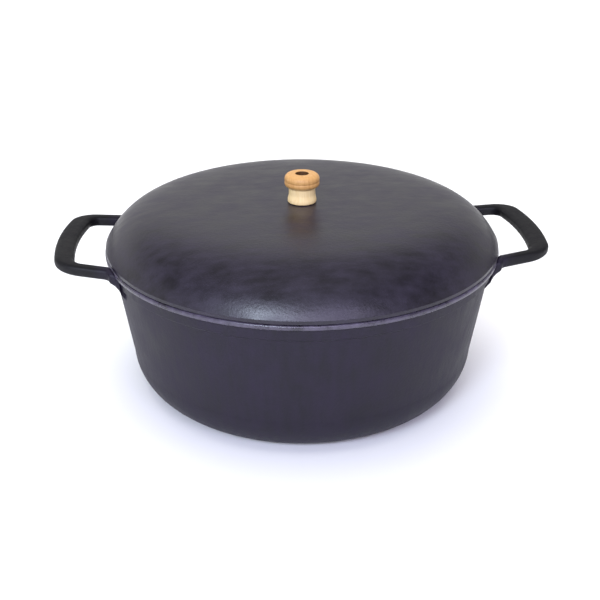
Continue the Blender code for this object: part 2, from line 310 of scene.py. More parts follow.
# ---------------------------------------------------------------- material nodes
def linear(hex_colour: str) -> tuple[float, float, float, float]:
    """Turns an sRGB hex colour to linear.

    Args:
        hex_colour: Such as "#2A2530".

    Returns:
        Red, green, blue and alpha.
    """
    channels = []
    for start in (1, 3, 5):
        value = int(hex_colour[start : start + 2], 16) / 255
        channels.append(value / 12.92 if value <= 0.04045 else ((value + 0.055) / 1.055) ** 2.4)
    return (channels[0], channels[1], channels[2], 1.0)


def per_mm(size: float) -> float:
    """Noise scale whose features are about that many millimetres across."""
    return 1000.0 / size


class NodeSheet:
    """A new material's node tree, or a world's."""

    def __init__(self, name: str, world: bpy.types.World | None = None) -> None:
        """Empties the node tree of a new material of that name, or of the world if one is given."""
        self.material = world or bpy.data.materials.new(name)
        self.material.use_nodes = True
        self.tree = self.material.node_tree
        self.tree.nodes.clear()

    def add(
        self,
        kind: str,
        settings: dict | None = None,
        values: dict | None = None,
        stops: Sequence[tuple[float, str | float]] = (),
    ) -> bpy.types.Node:
        """Adds a node.

        Args:
            kind: Type of the node, without "ShaderNode".
            settings: The node's own properties.
            values: Input name or index to a value, or to the socket that is linked to it.
            stops: Positions along its colour ramp in order, each with a hex colour or a linear grey.

        Returns:
            The node.
        """
        node = self.tree.nodes.new("ShaderNode" + kind)
        for key, value in (settings or {}).items():
            setattr(node, key, value)
        for key, value in (values or {}).items():
            if isinstance(value, Socket):
                self.tree.links.new(value, node.inputs[key])
            else:
                node.inputs[key].default_value = value
        for index, (position, colour) in enumerate(stops):
            elements = node.color_ramp.elements
            element = elements[index] if index < len(elements) else elements.new(position)
            element.position = position
            element.color = linear(colour) if isinstance(colour, str) else (colour, colour, colour, 1.0)
        return node

    def finish(self, shader: bpy.types.Node) -> bpy.types.Material:
        """Links the shader to the output and returns the material."""
        self.add("OutputMaterial", values={"Surface": shader.outputs[0]})
        return self.material


@dataclass(frozen=True)
class SeasonedIron:
    """Oiled, seasoned cast iron, cast in green sand.

    The baked-on oil is a thin clear skin over black iron, so it shines like satin paint and not like bare
    metal. The sand leaves a fine pebble under it, and the brushed oil dries in faint runs and patches. Out on
    the handles, far from the axis, the colour is painted blacker: a painted shade for the dark surroundings that
    the handles reflect.
    """

    name: str
    deep: str
    pale: str
    roughness: float
    roughness_spread: float
    pebble_mm: float
    pebble_depth_mm: float
    specular: float = 0.5
    run_stretch: tuple[float, float, float] = (1.0, 1.0, 1.0)
    run_mm: float = 5.0
    patch_mm: float = 34.0
    # Radii between which the colour fades to the painted shade of the handles, and that shade's colours.
    handle_shade_from: float = 1.0
    handle_shade_to: float = 1.1
    handle_shade_deep: str = "#040306"
    handle_shade_pale: str = "#0A080D"

    def make(self) -> bpy.types.Material:
        """Builds the node material."""
        sheet = NodeSheet(self.name)
        coordinates = sheet.add("TexCoord").outputs["Object"]
        tone = self.brushed_oil(sheet, coordinates)
        either_way = self.roughness_spread
        rough = sheet.add(
            "MapRange",
            values={"Value": tone, "To Min": self.roughness - either_way, "To Max": self.roughness + either_way},
        )
        plain_stops = ((0.0, self.deep), (1.0, self.pale))
        plain = sheet.add("ValToRGB", values={"Fac": tone}, stops=plain_stops)
        # Painted shade: out on the handles, far from the axis, the colour turns blacker.
        handle_shade_stops = ((0.0, self.handle_shade_deep), (1.0, self.handle_shade_pale))
        handle_shade = sheet.add("ValToRGB", values={"Fac": tone}, stops=handle_shade_stops)
        flat = sheet.add("VectorMath", {"operation": "MULTIPLY"}, {0: coordinates, 1: (1.0, 1.0, 0.0)})
        radius = sheet.add("VectorMath", {"operation": "LENGTH"}, {0: flat.outputs[0]})
        share = sheet.add(
            "MapRange",
            values={"Value": radius.outputs["Value"], "From Min": self.handle_shade_from, "From Max": self.handle_shade_to},
        )
        colour = sheet.add(
            "Mix",
            {"data_type": "RGBA"},
            {0: share.outputs[0], 6: plain.outputs[0], 7: handle_shade.outputs[0]},
        )
        shader = sheet.add(
            "BsdfPrincipled",
            values={
                "Base Color": colour.outputs[2],
                "Metallic": 0.0,
                "Roughness": rough.outputs[0],
                "IOR": 1.5,
                "Specular IOR Level": self.specular,
                "Normal": self.sand_bump(sheet, coordinates),
            },
        )
        return sheet.finish(shader)

    def brushed_oil(self, sheet: NodeSheet, coordinates: Socket) -> Socket:
        """Runs and patches of the oil, from 0 where it is thin to 1 where it is thick.

        Args:
            sheet: The material's nodes.
            coordinates: Places on the casting.

        Returns:
            Socket with the thickness.
        """
        place = sheet.add("Mapping", values={"Vector": coordinates, "Scale": self.run_stretch})
        runs = sheet.add(
            "TexNoise",
            values={"Vector": place.outputs[0], "Scale": per_mm(self.run_mm), "Detail": 5.0},
        )
        patches = sheet.add(
            "TexNoise",
            values={"Vector": coordinates, "Scale": per_mm(self.patch_mm), "Detail": 6.0, "Roughness": 0.65},
        )
        sum_of_both = sheet.add(
            "Math",
            {"operation": "MULTIPLY_ADD"},
            {0: runs.outputs["Fac"], 1: 0.8, 2: patches.outputs["Fac"]},
        )
        tone = sheet.add(
            "MapRange",
            values={"Value": sum_of_both.outputs[0], "From Min": 0.68, "From Max": 1.12},
        )
        return tone.outputs[0]

    def sand_bump(self, sheet: NodeSheet, coordinates: Socket) -> Socket:
        """Pebble left by the sand, on a broader swell.

        Args:
            sheet: The material's nodes.
            coordinates: Places on the casting.

        Returns:
            Socket with the bumped normal.
        """
        pebble = sheet.add(
            "TexNoise",
            values={"Vector": coordinates, "Scale": per_mm(self.pebble_mm), "Detail": 4.0, "Roughness": 0.6},
        )
        swell = sheet.add(
            "TexNoise",
            values={"Vector": coordinates, "Scale": per_mm(9 * self.pebble_mm), "Detail": 1.0},
        )
        relief = sheet.add(
            "Math",
            {"operation": "MULTIPLY_ADD"},
            {0: swell.outputs["Fac"], 1: 1.5, 2: pebble.outputs["Fac"]},
        )
        depth = self.pebble_depth_mm * MM
        bump = sheet.add("Bump", values={"Height": relief.outputs[0], "Distance": depth, "Strength": 1.0})
        return bump.outputs[0]


@dataclass(frozen=True)
class TurnedWood:
    """Pale hardwood such as maple or birch, turned on a lathe, sanded and lightly oiled.

    The grain runs along the knob's axis, so the sides show long faint lines and the end shows rings. Handling
    has toned the head a little darker than the foot.
    """

    name: str = "turned_maple_oiled"
    foot: str = "#F3D9A4"
    foot_vein: str = "#E8C88D"
    head: str = "#CB9D60"
    head_vein: str = "#B7844A"
    grain_mm: float = 1.6
    tone_height: float = 0.0152
    tone_fade: float = 0.0012

    def make(self) -> bpy.types.Material:
        """Builds the node material."""
        sheet = NodeSheet(self.name)
        coordinates = sheet.add("TexCoord").outputs["Object"]
        along = sheet.add("Mapping", values={"Vector": coordinates, "Scale": (1, 1, 0.12)})
        wander = sheet.add(
            "TexNoise",
            values={"Vector": along.outputs[0], "Scale": per_mm(14.0), "Detail": 2.0},
        )
        shifted = sheet.add(
            "VectorMath",
            {"operation": "MULTIPLY_ADD"},
            {0: wander.outputs["Color"], 1: (0.012, 0.012, 0.012), 2: along.outputs[0]},
        )
        grain = sheet.add(
            "TexNoise",
            values={
                "Vector": shifted.outputs[0],
                "Scale": per_mm(self.grain_mm),
                "Detail": 5.0,
                "Roughness": 0.6,
            },
        )
        vein = sheet.add("MapRange", values={"Value": grain.outputs["Fac"], "From Min": 0.35, "From Max": 0.7})
        foot_stops = ((0.0, self.foot), (1.0, self.foot_vein))
        foot = sheet.add("ValToRGB", values={"Fac": vein.outputs[0]}, stops=foot_stops)
        head_stops = ((0.0, self.head), (1.0, self.head_vein))
        head = sheet.add("ValToRGB", values={"Fac": vein.outputs[0]}, stops=head_stops)
        height = sheet.add("SeparateXYZ", values={"Vector": coordinates}).outputs["Z"]
        share = sheet.add(
            "MapRange",
            values={
                "Value": height,
                "From Min": self.tone_height - self.tone_fade,
                "From Max": self.tone_height + self.tone_fade,
            },
        )
        colour = sheet.add(
            "Mix",
            {"data_type": "RGBA"},
            {0: share.outputs[0], 6: foot.outputs[0], 7: head.outputs[0]},
        )
        bump = sheet.add(
            "Bump",
            values={"Height": grain.outputs["Fac"], "Distance": 0.03 * MM, "Strength": 1.0},
        )
        rough = sheet.add("MapRange", values={"Value": grain.outputs["Fac"], "To Min": 0.42, "To Max": 0.58})
        shader = sheet.add(
            "BsdfPrincipled",
            values={
                "Base Color": colour.outputs[2],
                "Roughness": rough.outputs[0],
                "IOR": 1.5,
                "Normal": bump.outputs[0],
            },
        )
        return sheet.finish(shader)


@dataclass(frozen=True)
class PlatedSteel:
    """Zinc plated steel, barrel plated and passivated.

    The plating is soft and grey, with cloudy patches and a satin shine.
    """

    name: str = "zinc_plated_steel"
    dull: str = "#9A9C9E"
    bright: str = "#C9CBCC"
    cloud_mm: float = 2.2

    def make(self) -> bpy.types.Material:
        """Builds the node material."""
        sheet = NodeSheet(self.name)
        coordinates = sheet.add("TexCoord").outputs["Object"]
        cloud = sheet.add(
            "TexNoise",
            values={"Vector": coordinates, "Scale": per_mm(self.cloud_mm), "Detail": 4.0},
        )
        stops = ((0.3, self.dull), (0.7, self.bright))
        colour = sheet.add("ValToRGB", values={"Fac": cloud.outputs["Fac"]}, stops=stops)
        rough = sheet.add("MapRange", values={"Value": cloud.outputs["Fac"], "To Min": 0.25, "To Max": 0.45})
        bump = sheet.add(
            "Bump",
            values={"Height": cloud.outputs["Fac"], "Distance": 0.01 * MM, "Strength": 1.0},
        )
        shader = sheet.add(
            "BsdfPrincipled",
            values={
                "Base Color": colour.outputs[0],
                "Metallic": 1.0,
                "Roughness": rough.outputs[0],
                "Normal": bump.outputs[0],
            },
        )
        return sheet.finish(shader)


# The wall was brushed with oil standing up, so its runs are upright. It is the roughest skin, violet-black.
WALL_IRON = SeasonedIron(
    "seasoned_iron_wall",
    "#0E0917",
    "#1C1527",
    0.56,
    0.06,
    2.6,
    0.16,
    specular=0.32,
    run_stretch=(1.0, 1.0, 0.07),
    # From this radius out, on the handles, the colour is a painted shade.
    handle_shade_from=0.181,
    handle_shade_to=0.194,
)
# The rim was ground flat and wiped with oil, so it shines more than the wall. Its paler colour is a painted
# highlight along the lip.
RIM_IRON = SeasonedIron(
    "seasoned_iron_ground_rim_painted_highlight",
    "#1E1927",
    "#4A4356",
    0.30,
    0.08,
    1.8,
    0.14,
    specular=0.7,
)
# The lid was brushed with oil lying flat, across its width, and it shines in patches.
LID_IRON = SeasonedIron(
    "seasoned_iron_lid",
    "#110D17",
    "#241F2D",
    0.36,
    0.06,
    2.6,
    0.15,
    specular=0.44,
    run_stretch=(0.3, 1.0, 1.0),
    run_mm=7.0,
)
# The inside keeps the thickest oil, and it is the blackest.
INSIDE_IRON = SeasonedIron("seasoned_iron_inside", "#0E0B10", "#1D1920", 0.36, 0.08, 3.2, 0.14)


# The drilled hole is painted dark brown, a painted shade inside the recess.
BORE_SHADE_WOOD = TurnedWood("drilled_maple_painted_shade", "#5A3B1C", "#4A2E14", "#5A3B1C", "#4A2E14")


# ---------------------------------------------------------------- pot
@dataclass
class PotCasting:
    """The pot with both loop handles, which are poured as one piece."""

    rim_radius: float
    rim_height: float
    reach: float
    wall_lean: float = 0.144
    corner_run: float = 0.034
    corner_rise: float = 0.0382
    wall: float = 0.0045
    floor: float = 0.0055
    lip_overhang: float = 0.0046
    lip_thickness: float = 0.0042
    lip_round: float = 0.0016
    band_height: float = 0.0146
    band_proud: float = 0.0021
    band_step: float = 0.0016
    band_round: float = 0.0010
    mouth_round: float = 0.0011
    mouth_sweep: float = math.radians(80)
    lid_inset: float = 0.0009
    turns: int = 256

    @property
    def wall_top(self) -> float:
        """Outside radius of the plain wall, carried up to the rim."""
        return self.rim_radius - self.lip_overhang

    @property
    def base_radius(self) -> float:
        """Radius of the flat base."""
        return self.wall_radius(self.corner_rise) - self.corner_run

    def wall_radius(self, height: float) -> float:
        """Outside radius of the plain wall at a height."""
        return self.wall_top - self.wall_lean * (self.rim_height - height)

    def corner(self, run: float, rise: float, base_height: float) -> Profile:
        """Bottom corner of the outside or the inside.

        Args:
            run: Width of the corner.
            rise: Its height.
            base_height: Height of the floor it runs into.

        Returns:
            Points from the wall down to the floor.
        """
        steps = 28
        curve: Profile = []
        for step in range(steps + 1):
            angle = math.pi / 2 * step / steps
            radius = self.base_radius + run * math.cos(angle)
            curve.append((radius, base_height + rise * (1 - math.sin(angle))))
        return curve

    def outside(self) -> Shell:
        """Solid outer shape, from the rim's top down to the base."""
        lip_foot = self.rim_height - self.lip_thickness
        band_foot = self.rim_height - self.band_height
        step_foot = band_foot - self.band_step
        top = [
            (0.0, self.rim_height),
            (self.rim_radius, self.rim_height, self.lip_round),
            (self.rim_radius, lip_foot, self.lip_round),
            (self.wall_radius(lip_foot) + self.band_proud, lip_foot, self.band_round),
            (self.wall_radius(band_foot) + self.band_proud, band_foot, self.band_round),
            (self.wall_radius(step_foot), step_foot, self.band_round),
            (self.wall_radius(self.corner_rise), self.corner_rise),
        ]
        upper = rounded(top)[:-1]
        wall_steps = 14
        wall = []
        for step in range(1, wall_steps):
            height = step_foot + (self.corner_rise - step_foot) * step / wall_steps
            wall.append((self.wall_radius(height), height))
        corner = self.corner(self.corner_run, self.corner_rise, 0.0)
        return revolve(upper + wall + corner + [(0.0, 0.0)], self.turns, False)

    def inside(self) -> Shell:
        """Cavity, carried up past the rim."""
        above = self.rim_height + 2 * self.wall
        mouth = self.wall_top - self.wall
        start = self.rim_height - self.mouth_round
        top = [(0.0, above), (mouth + 4 * self.wall, above), *self.mouth_arc(mouth), (mouth, start)]
        wall_steps = 16
        wall = []
        for step in range(1, wall_steps):
            height = start + (self.corner_rise - start) * step / wall_steps
            wall.append((self.wall_radius(height) - self.wall, height))
        corner = self.corner(self.corner_run - self.wall, self.corner_rise - self.floor, self.floor)
        profile = top + wall + corner + [(0.0, self.floor)]
        return revolve(profile, self.turns, False, Surface.CAVITY)

    def mouth_arc(self, mouth: float) -> Profile:
        """Rounded inner edge of the rim.

        Args:
            mouth: Radius of the mouth.

        Returns:
            Points from above the rim down into the mouth.
        """
        steps, arc = 8, []
        for step in range(steps):
            angle = self.mouth_sweep * (1 - step / steps)
            radius = mouth + self.mouth_round * (1 - math.cos(angle))
            arc.append((radius, self.rim_height - self.mouth_round * (1 - math.sin(angle))))
        flare = (mouth + 4 * self.wall, self.rim_height + self.wall)
        return [flare, *arc]

    def build(self) -> bpy.types.Object:
        """Casts the pot and its handles, and dresses each part of the surface."""
        loop = LoopHandle(self)
        shells = [self.outside(), loop.build(1), loop.build(-1), self.inside()]
        mesh, sources = cast_together("pot_casting", shells)
        for finish in (WALL_IRON, RIM_IRON, INSIDE_IRON):
            mesh.materials.append(finish_of(finish))
        lip_foot = self.rim_height - self.lip_thickness
        for polygon, source in zip(mesh.polygons, sources):
            # The lip takes the rim finish: a smoother skin, with a paler colour that is a painted highlight.
            on_lip = source == 0 and polygon.center.z > lip_foot
            in_cavity = shells[source].surface is Surface.CAVITY
            polygon.material_index = 2 if in_cavity else int(on_lip)
        return place_object("pot_casting", mesh)


@dataclass
class LoopHandle:
    """Loop handle cast on at the rim: a bowed bar between two arms that flare into the wall."""

    pot: PotCasting
    tilt: float = math.radians(6.3)
    thickness: float = 0.0097
    bar_width: float = 0.0170
    bar_half_length: float = 0.0443
    bow_radius: float = 0.253
    arm_width: float = 0.0108
    arm_spread: float = math.radians(8.5)
    corner_radius: float = 0.019
    root_fillet: float = 0.0115
    root_side_fillet: float = 0.0040
    root_depth: float = 0.0135
    root_tail: float = 0.006
    root_tail_bury: float = 0.0007
    root_taper: float = 0.45
    root_rise: float = 0.0014
    squareness: float = 3.3
    seat_clearance: float = 0.0006
    sides: int = 48

    def __post_init__(self) -> None:
        """Finds where the bar, the bends and the arms meet."""
        self.bar_x = self.pot.reach - self.bar_width / 2
        self.bar_turn = math.asin(self.bar_half_length / self.bow_radius)
        self.arm_turn = math.pi / 2 - self.arm_spread
        self.arm_start = self.on_bend(self.arm_turn)
        self.arm_way = Vector((-math.sin(self.arm_turn), math.cos(self.arm_turn)))

    @staticmethod
    def outward(turn: float) -> Vector:
        """Direction in plan at a turn from +X."""
        return Vector((math.cos(turn), math.sin(turn)))

    def on_bar(self, turn: float) -> Vector:
        """Centre of the bar at a turn of its bow."""
        return Vector((self.bar_x - self.bow_radius, 0.0)) + self.outward(turn) * self.bow_radius

    def on_bend(self, turn: float) -> Vector:
        """Centre of the bend at a turn."""
        swing = self.outward(turn) - self.outward(self.bar_turn)
        return self.on_bar(self.bar_turn) + swing * self.corner_radius

    def on_arm(self, radius: float) -> Vector:
        """Centre of the arm, that far from the pot's axis."""
        along = -self.arm_start.dot(self.arm_way)
        short = along * along - self.arm_start.length_squared + radius * radius
        return self.arm_start + self.arm_way * (along - math.sqrt(short))

    def heights(self, place: Vector, depth: float) -> tuple[float, float]:
        """Top and foot of the loop at a place in plan.

        Args:
            place: The place.
            depth: How far the root's fillet has come down there.

        Returns:
            Heights of the top, which ramps down to the rim beside the lid's edge, and of the foot.
        """
        rim = self.pot.rim_radius
        at_lip = math.sqrt(rim**2 - self.arm_start.y**2)
        slope = self.root_rise + math.tan(self.tilt) * (place.x - at_lip)
        ramp = place.length - (rim - self.pot.lid_inset) - self.seat_clearance
        base = self.pot.rim_height
        return base + min(slope, ramp), base + slope - self.thickness - depth

    def section(self, centre: Vector, turn: float, width: float, depth: float) -> list[Vector]:
        """Rounded section across the loop.

        Args:
            centre: Its centre in plan.
            turn: Which way its outer side faces.
            width: Its width.
            depth: How far it reaches below the plain loop.

        Returns:
            Points round the section.
        """
        ring = []
        power = 2 / self.squareness
        for side in range(self.sides):
            angle = 2 * math.pi * side / self.sides
            across = math.copysign(abs(math.cos(angle)) ** power, math.cos(angle))
            up = math.copysign(abs(math.sin(angle)) ** power, math.sin(angle))
            place = centre + self.outward(turn) * (width / 2 * across)
            top, foot = self.heights(place, depth)
            ring.append(Vector((place.x, place.y, (top + foot) / 2 + (top - foot) / 2 * up)))
        return ring

    def stations(self) -> list[tuple[Vector, float, float, float]]:
        """Centre, turn, width and depth of each section, from the bar's middle to a root."""
        bar_steps, bend_steps, arm_steps, root_steps = 12, 26, 6, 20
        found = []
        for step in range(bar_steps):
            turn = self.bar_turn * step / bar_steps
            found.append((self.on_bar(turn), turn, self.bar_width, 0.0))
        for step in range(bend_steps + 1):
            share = step / bend_steps
            turn = self.bar_turn + (self.arm_turn - self.bar_turn) * share
            eased = share * share * (3 - 2 * share)
            width = self.bar_width + (self.arm_width - self.bar_width) * (0.5 * share + 0.5 * eased)
            found.append((self.on_bend(turn), turn, width, 0.0))
        wall = self.pot.wall_radius(self.pot.rim_height - self.thickness)
        first_root = self.on_arm(wall + self.root_fillet)
        for step in range(1, arm_steps):
            place = self.arm_start.lerp(first_root, step / arm_steps)
            found.append((place, self.arm_turn, self.arm_width + 2 * self.flare(place.length), 0.0))
        for step in range(root_steps + 1):
            swing = math.pi / 2 * step / root_steps
            depth = self.root_fillet * (1 - math.cos(swing))
            off_wall = self.root_fillet * (1 - math.sin(swing)) - self.pot.wall_lean * depth
            width = self.arm_width + 2 * self.flare(wall + off_wall)
            found.append((self.on_arm(wall + off_wall), self.arm_turn, width, depth))
        tail = self.root_fillet + self.root_tail
        tail_place = self.on_arm(wall - self.pot.wall_lean * tail - self.root_tail_bury)
        found.append((tail_place, self.arm_turn, width * self.root_taper, tail))
        end = self.on_arm(wall - self.root_depth)
        found.append((end, self.arm_turn, self.arm_width + 2 * self.root_side_fillet, tail))
        return found

    def flare(self, radius: float) -> float:
        """How much a root has widened on each side, that far from the pot's axis."""
        off_lip = max(0.0, radius - self.pot.rim_radius)
        short = max(0.0, self.root_side_fillet - off_lip)
        return self.root_side_fillet - math.sqrt(self.root_side_fillet**2 - short**2)

    def build(self, direction: int) -> Shell:
        """Lofts one loop.

        Args:
            direction: 1 for the loop on +X, -1 for the one on -X.

        Returns:
            The loop, with its ends inside the pot's wall.
        """
        half = [self.section(*station) for station in self.stations()]
        mirrored = [[Vector((point.x, -point.y, point.z)) for point in ring] for ring in half[1:]]
        rings = []
        for ring in half[::-1] + mirrored:
            rings.append([Vector((point.x * direction, point.y * direction, point.z)) for point in ring])
        return loft(rings)


# ---------------------------------------------------------------- lid
@dataclass
class DomedLid:
    """The lid's casting, with the ring under it that keeps it centred in the mouth."""

    seat: float
    radius: float
    crown: float
    foot: float
    ring_outer: float
    hole_radius: float = HOLE_RADIUS
    edge_height: float = 0.0034
    edge_round: float = 0.0008
    side_power: float = 10.0
    crown_power: float = 1.0
    hollow_side_power: float = 14.0
    wall: float = 0.0050
    ring_width: float = 0.0040
    ring_round: float = 0.0010
    turns: int = 256

    def outline(self) -> Profile:
        """Closed section of the casting, from the screw hole over the crown and round underneath."""
        base = self.seat + self.edge_height
        rise = self.crown - base
        dome = dome_curve(self.radius, rise, self.side_power, self.crown_power, self.hole_radius)
        over = [(across, base + up) for across, up in reversed(dome[1:])]
        inner = self.ring_outer - self.ring_width
        corners = [
            over[-1],
            (self.radius, base, self.edge_round),
            (self.radius, self.seat, self.edge_round),
            (self.ring_outer, self.seat, self.edge_round),
            (self.ring_outer, self.foot, self.ring_round),
            (inner, self.foot, self.ring_round),
            (inner, base),
        ]
        rise -= self.wall
        hollow = dome_curve(inner, rise, self.hollow_side_power, self.crown_power, self.hole_radius)
        under = [(across, base + up) for across, up in hollow]
        return over + rounded(corners, 6)[1:-1] + under

    def build(self) -> bpy.types.Object:
        """Turns the section into the casting and dresses its outside and inside."""
        outline = self.outline()
        shell = revolve(outline, self.turns, True)
        mesh = shell.to_mesh("lid_casting")
        mesh.materials.append(finish_of(LID_IRON))
        mesh.materials.append(finish_of(INSIDE_IRON))
        inner = self.ring_outer - self.ring_width / 2
        under = [0 if self.is_outside(outline, index, inner) else 1 for index in range(len(outline))]
        indices = [under[face // self.turns] for face in range(len(mesh.polygons))]
        mesh.polygons.foreach_set("material_index", indices)
        return place_object("lid_casting", mesh)

    def is_outside(self, outline: Profile, index: int, inner: float) -> bool:
        """True for the rows of the outline that are seen with the lid on.

        Args:
            outline: The closed section.
            index: Row of the section.
            inner: Radius of the middle of the ring under the lid.

        Returns:
            Whether the row belongs to the outside.
        """
        foot = next(i for i, (r, z) in enumerate(outline) if z <= self.seat + 1e-6 and r > inner)
        return index <= foot


# ---------------------------------------------------------------- knob and its fixing
@dataclass
class TurnedKnob:
    """The wooden knob, with the bored hole that takes the screw's head."""

    seat: float
    height: float
    head_radius: float
    head_height: float = 0.0112
    top_round: float = 0.0048
    head_foot_round: float = 0.0038
    undercut: float = 0.0014
    neck_radius: float = 0.0120
    neck_round: float = 0.0012
    flare_height: float = 0.0075
    flare_round: float = 0.0060
    foot_radius: float = 0.0130
    foot_height: float = 0.0030
    foot_round: float = 0.0012
    bore_radius: float = 0.0059
    bore_depth: float = 0.0095
    bore_round: float = 0.0006
    hole_radius: float = HOLE_RADIUS
    groove_depth: float = 0.00045
    groove_half_width: float = 0.00060
    groove_share: float = 0.40
    hole_edge: float = 0.0002
    bore_floor_round: float = 0.0004

    def outline(self) -> Profile:
        """Closed section, from the bore's edge round the outside and back up the hole."""
        head_foot = self.height - self.head_height
        bore_floor = self.height - self.bore_depth
        groove = head_foot + self.head_height * self.groove_share
        side = self.head_radius
        corners = [
            (self.bore_radius, self.height, self.bore_round),
            (side, self.height, self.top_round),
            (side, groove + self.groove_half_width),
            (side - self.groove_depth, groove, 0.5 * self.groove_depth),
            (side, groove - self.groove_half_width),
            (side, head_foot, self.head_foot_round),
            (self.neck_radius, head_foot - self.undercut, self.neck_round),
            (self.neck_radius, self.flare_height, self.flare_round),
            (self.foot_radius, self.foot_height, self.foot_round),
            (self.foot_radius, 0.0, self.foot_round),
            (self.hole_radius, 0.0, self.hole_edge),
            (self.hole_radius, bore_floor, self.hole_edge),
            (self.bore_radius, bore_floor, self.bore_floor_round),
        ]
        return rounded(corners, 10)

    def build(self) -> bpy.types.Object:
        """Turns the knob."""
        mesh = revolve(self.outline(), 128, True).to_mesh("turned_knob")
        mesh.materials.append(finish_of(TurnedWood()))
        mesh.materials.append(finish_of(BORE_SHADE_WOOD))
        edge = self.bore_radius + 0.3 * self.bore_round
        foot = self.height - 1.1 * self.bore_depth
        for polygon in mesh.polygons:
            off_axis = math.hypot(polygon.center.x, polygon.center.y)
            # Faces inside the bore take the dark brown painted shade.
            polygon.material_index = int(off_axis < edge and polygon.center.z > foot)
        return place_object("turned_knob", mesh, self.seat)


@dataclass
class KnobFixing:
    """Screw, washers and nut that hold the knob on the lid."""

    steel: PlatedSteel = PlatedSteel()
    turns: int = 96
    pitch: float = 0.0010
    thread_depth: float = 0.0005
    head_round: float = 0.0014
    slot_width: float = 0.0014
    slot_depth: float = 0.0016
    edge: float = 0.0003
    thread_sunk: float = 0.0002
    plain_turns: float = 1.4
    end_turns: float = 0.9
    half_foot: float = 0.42
    half_crest: float = 0.10
    least_fade: float = 0.02
    chamfer_share: float = 0.95

    def dress(self, name: str, mesh: bpy.types.Mesh, height: float) -> bpy.types.Object:
        """Gives a piece its finish and its place."""
        mesh.materials.append(finish_of(self.steel))
        return place_object(name, mesh, height)

    def washer(self, name: str, node: str, hole: float) -> bpy.types.Object:
        """Flat washer with rounded edges.

        Args:
            name: Name of the piece.
            node: CAD node that it stands for.
            hole: Radius of its hole.

        Returns:
            The washer.
        """
        low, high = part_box(node)
        thick = high.z - low.z
        corners = [
            (hole, thick, self.edge),
            (high.x, thick, self.edge),
            (high.x, 0.0, self.edge),
            (hole, 0.0, self.edge),
        ]
        return self.dress(name, revolve(rounded(corners, 5), self.turns, True).to_mesh(name), low.z)

    def screw(self, seat: float, thread_radius: float) -> bpy.types.Object:
        """Slotted pan head screw with a rolled thread.

        Args:
            seat: Height of the head's underside.
            thread_radius: Outside radius of the thread.

        Returns:
            The screw.
        """
        low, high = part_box("knob_bolt")
        head_height, head_radius = high.z - seat, high.x
        core = thread_radius - self.thread_depth
        end = low.z - seat
        corners = [
            (0.0, head_height),
            (head_radius, head_height, self.head_round),
            (head_radius, 0.0, self.edge),
            (core, 0.0, self.edge),
            (core, end + self.thread_depth),
            (core - self.thread_depth, end),
            (0.0, end),
        ]
        head = revolve(rounded(corners, 6), self.turns, False)
        slot = self.slot_block(head_radius, head_height)
        mesh, _ = cast_together("pan_head_screw", [head, self.thread(core, thread_radius, end), slot])
        return self.dress("pan_head_screw", mesh, seat)

    def thread(self, core: float, crest: float, end: float) -> Shell:
        """Helical ridge from just under the head to near the screw's end.

        Args:
            core: Radius of the thread's root.
            crest: Radius of its crest.
            end: Height of the screw's end below its head.

        Returns:
            The ridge, sunk a little into the core.
        """
        steps = 24
        start = -self.plain_turns * self.pitch
        stop = end + self.end_turns * self.pitch
        count = int((start - stop) / self.pitch * steps)
        sunk = core - self.thread_sunk
        foot, tip = self.half_foot * self.pitch, self.half_crest * self.pitch
        rings = []
        for step in range(count + 1):
            angle = 2 * math.pi * step / steps
            height = start - self.pitch * step / steps
            fade = min(1.0, step / steps + self.least_fade, (count - step) / steps + self.least_fade)
            top = sunk + (crest - sunk) * fade
            ring = []
            for radius, up in ((sunk, foot), (top, tip), (top, -tip), (sunk, -foot)):
                ring.append(Vector((radius * math.cos(angle), radius * math.sin(angle), height + up)))
            rings.append(ring)
        return loft(rings)

    def slot_block(self, head_radius: float, head_height: float) -> Shell:
        """Block that cuts the driver slot."""
        half = self.slot_width / 2
        floor, top = head_height - self.slot_depth, head_height + self.slot_depth
        sides = ((-half, floor), (half, floor), (half, top), (-half, top))
        reach = 2 * head_radius
        block = loft([[Vector((x, y, z)) for y, z in sides] for x in (-reach, reach)])
        return Shell(block.points, block.faces, Surface.CAVITY)

    def nut(self, across_flats: float, bore: float) -> bpy.types.Object:
        """Hex nut with chamfered corners.

        Args:
            across_flats: Its width.
            bore: Radius of its hole.

        Returns:
            The nut.
        """
        low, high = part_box("knob_nut")
        thick = high.z - low.z
        half_turn = math.pi / 6
        corner_radius = across_flats / 2 / math.cos(half_turn)
        face_radius = across_flats / 2 * self.chamfer_share
        drop = (corner_radius - face_radius) * math.tan(half_turn)
        levels = [
            (0.0, face_radius),
            (drop, corner_radius),
            (thick - drop, corner_radius),
            (thick, face_radius),
        ]
        rings = []
        for height, limit in levels:
            ring = []
            for step in range(self.turns):
                angle = 2 * math.pi * step / self.turns + half_turn
                flat = across_flats / 2 / math.cos(angle % (2 * half_turn) - half_turn)
                radius = min(flat, limit)
                ring.append(Vector((radius * math.cos(angle), radius * math.sin(angle), height)))
            rings.append(ring)
        hole = rounded(
            [
                (0.0, 2 * thick),
                (bore + thick + 2 * self.edge, 2 * thick),
                (bore, thick - 2 * self.edge),
                (bore, 2 * self.edge),
                (bore + thick + 2 * self.edge, -thick),
                (0.0, -thick),
            ]
        )
        mesh, _ = cast_together("hex_nut", [loft(rings), revolve(hole, self.turns, False, Surface.CAVITY)])
        return self.dress("hex_nut", mesh, low.z)


# ---------------------------------------------------------------- finishes and studio
FINISHED: dict[str, bpy.types.Material] = {}


def finish_of(finish: SeasonedIron | TurnedWood | PlatedSteel) -> bpy.types.Material:
    """Material of a finish, made once."""
    if finish.name not in FINISHED:
        FINISHED[finish.name] = finish.make()
    return FINISHED[finish.name]


